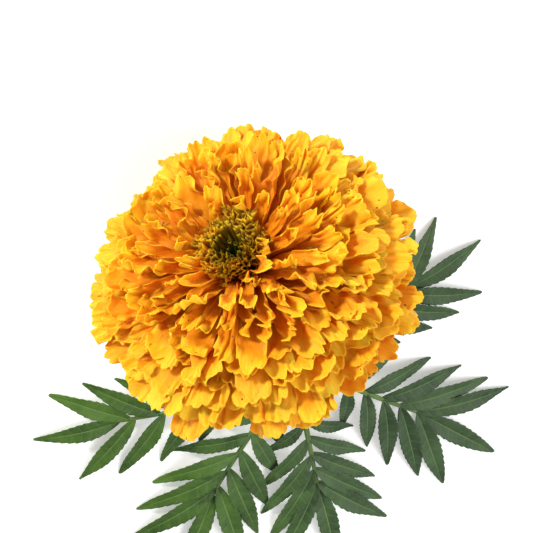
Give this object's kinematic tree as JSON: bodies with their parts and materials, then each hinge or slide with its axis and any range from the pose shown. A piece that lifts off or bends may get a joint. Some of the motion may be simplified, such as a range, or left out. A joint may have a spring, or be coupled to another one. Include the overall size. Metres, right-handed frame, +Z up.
{
  "type": "african marigold flower",
  "caption": "Double orange-yellow African marigold head of overlapping frilled ray florets, on a short cut stem with pinnate leaves, lying on its side.",
  "frame": {"origin": "on the surface that the flower lies on, under the middle of its bounding box", "axes": "+Z up from the surface; the flower's face looks along -Y and 30 degrees up; the cut end of the stem points along +Y"},
  "size_m": [0.1491, 0.1722, 0.0838],
  "materials": {
    "outer_florets": "velvety orange-yellow petal, satin, slightly translucent",
    "inner_florets": "velvety deep orange petal, satin, slightly translucent",
    "eye": "matte olive-yellow young florets",
    "involucre": "smooth ribbed green bracts, satin",
    "stem": "smooth ribbed green stalk, satin",
    "leaves": "matte dark green leaf with a paler midrib"
  },
  "bodies": {
    "root": {"ray_floret_01": "outer_florets", "ray_floret_02": "outer_florets", "ray_floret_03": "outer_florets", "ray_floret_04": "outer_florets", "ray_floret_05": "outer_florets", "ray_floret_06": "outer_florets", "ray_floret_07": "outer_florets", "ray_floret_08": "outer_florets", "ray_floret_09": "outer_florets", "ray_floret_10": "outer_florets", "ray_floret_11": "outer_florets", "ray_floret_12": "outer_florets", "ray_floret_13": "outer_florets", "ray_floret_14": "outer_florets", "ray_floret_15": "outer_florets", "ray_floret_16": "outer_florets", "ray_floret_17": "outer_florets", "ray_floret_18": "outer_florets", "ray_floret_19": "outer_florets", "ray_floret_20": "outer_florets", "ray_floret_21": "outer_florets", "ray_floret_22": "outer_florets", "ray_floret_23": "outer_florets", "ray_floret_24": "outer_florets", "ray_floret_25": "outer_florets", "ray_floret_26": "outer_florets", "ray_floret_27": "outer_florets", "ray_floret_28": "outer_florets", "ray_floret_29": "outer_florets", "ray_floret_30": "outer_florets", "ray_floret_31": "outer_florets", "ray_floret_32": "outer_florets", "ray_floret_33": "outer_florets", "ray_floret_34": "outer_florets", "ray_floret_35": "outer_florets", "ray_floret_36": "outer_florets", "ray_floret_37": "outer_florets", "ray_floret_38": "outer_florets", "ray_floret_39": "outer_florets", "inner_whorl_1": "inner_florets", "inner_whorl_2": "inner_florets", "inner_whorl_3": "inner_florets", "inner_whorl_4": "inner_florets", "inner_whorl_5": "inner_florets", "inner_whorl_6": "inner_florets", "eye_florets": "eye", "involucre": "involucre", "stem": "stem", "leaf_left": "leaves", "leaf_right": "leaves", "leaf_lower_left": "leaves", "leaf_lower_right": "leaves", "leaf_bottom": "leaves"}
  },
  "joints": []
}
